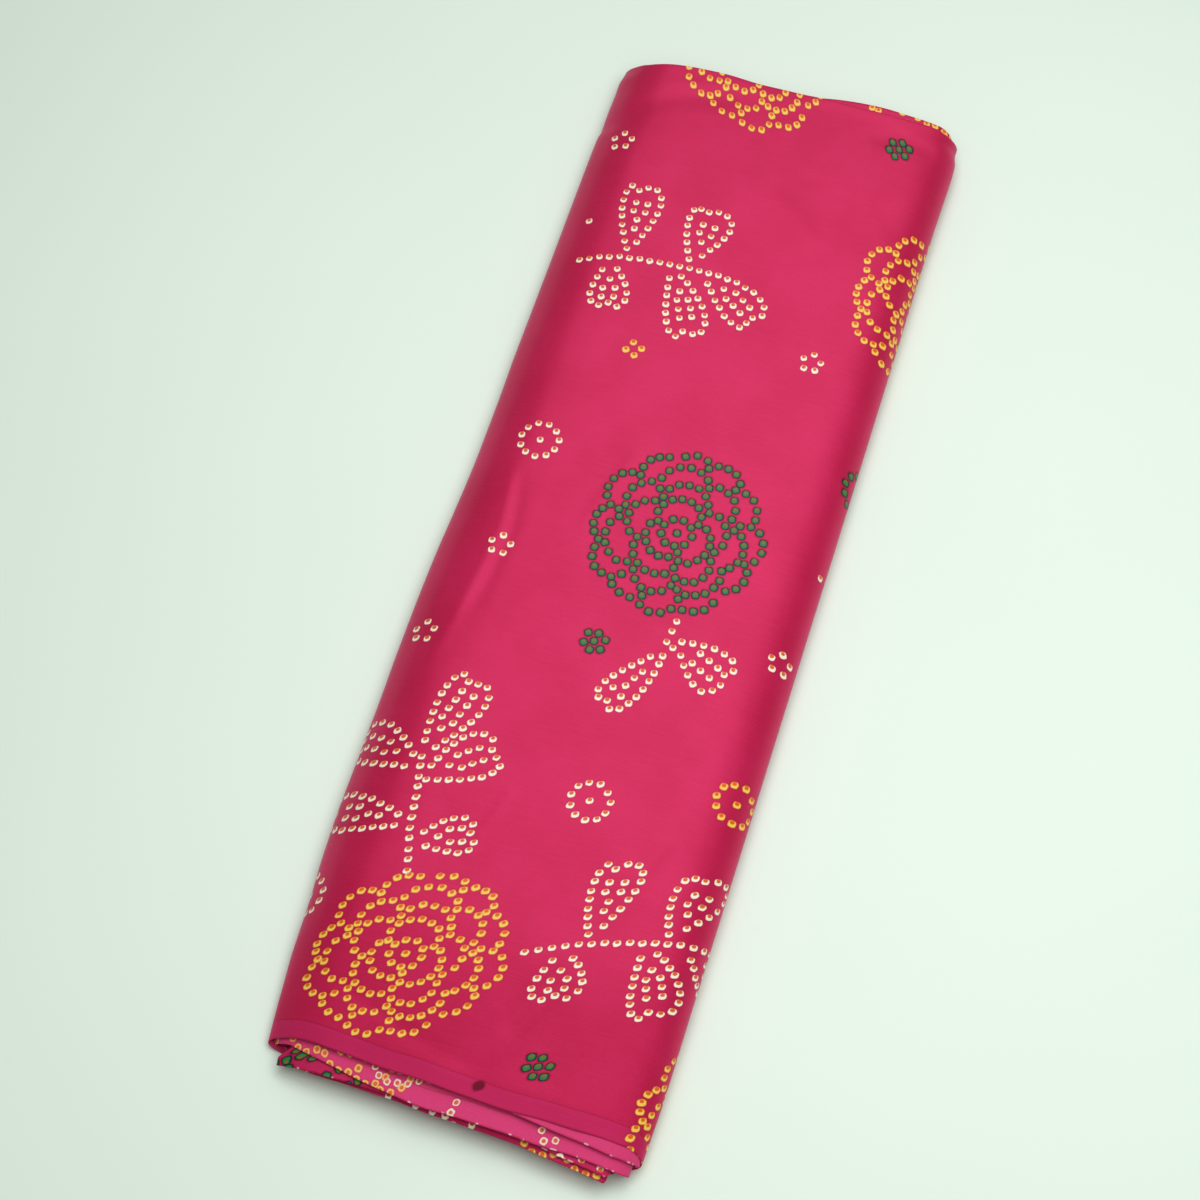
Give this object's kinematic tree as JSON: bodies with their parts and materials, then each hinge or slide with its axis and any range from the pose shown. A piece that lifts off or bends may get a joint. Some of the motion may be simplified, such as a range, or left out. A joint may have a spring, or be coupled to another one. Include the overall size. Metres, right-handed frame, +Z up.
{
  "type": "folded printed satin fabric",
  "caption": "Cut length of printed satin cloth, folded in half selvedge to selvedge and then flat, back and forth, into a long soft packet with rounded sides.",
  "frame": {"origin": "middle of the packet's underside", "axes": "+Z up off the surface it lies on, +Y along the packet towards the half fold, so the selvedges are at -Y, and X across it"},
  "size_m": [0.1856, 0.5812, 0.0267],
  "materials": {
    "printed_satin": "fine satin weave, deep pink, printed with tie-dye style dot flowers in cream, yellow-orange and green"
  },
  "bodies": {
    "root": {"folded_satin": "printed_satin"}
  },
  "joints": []
}
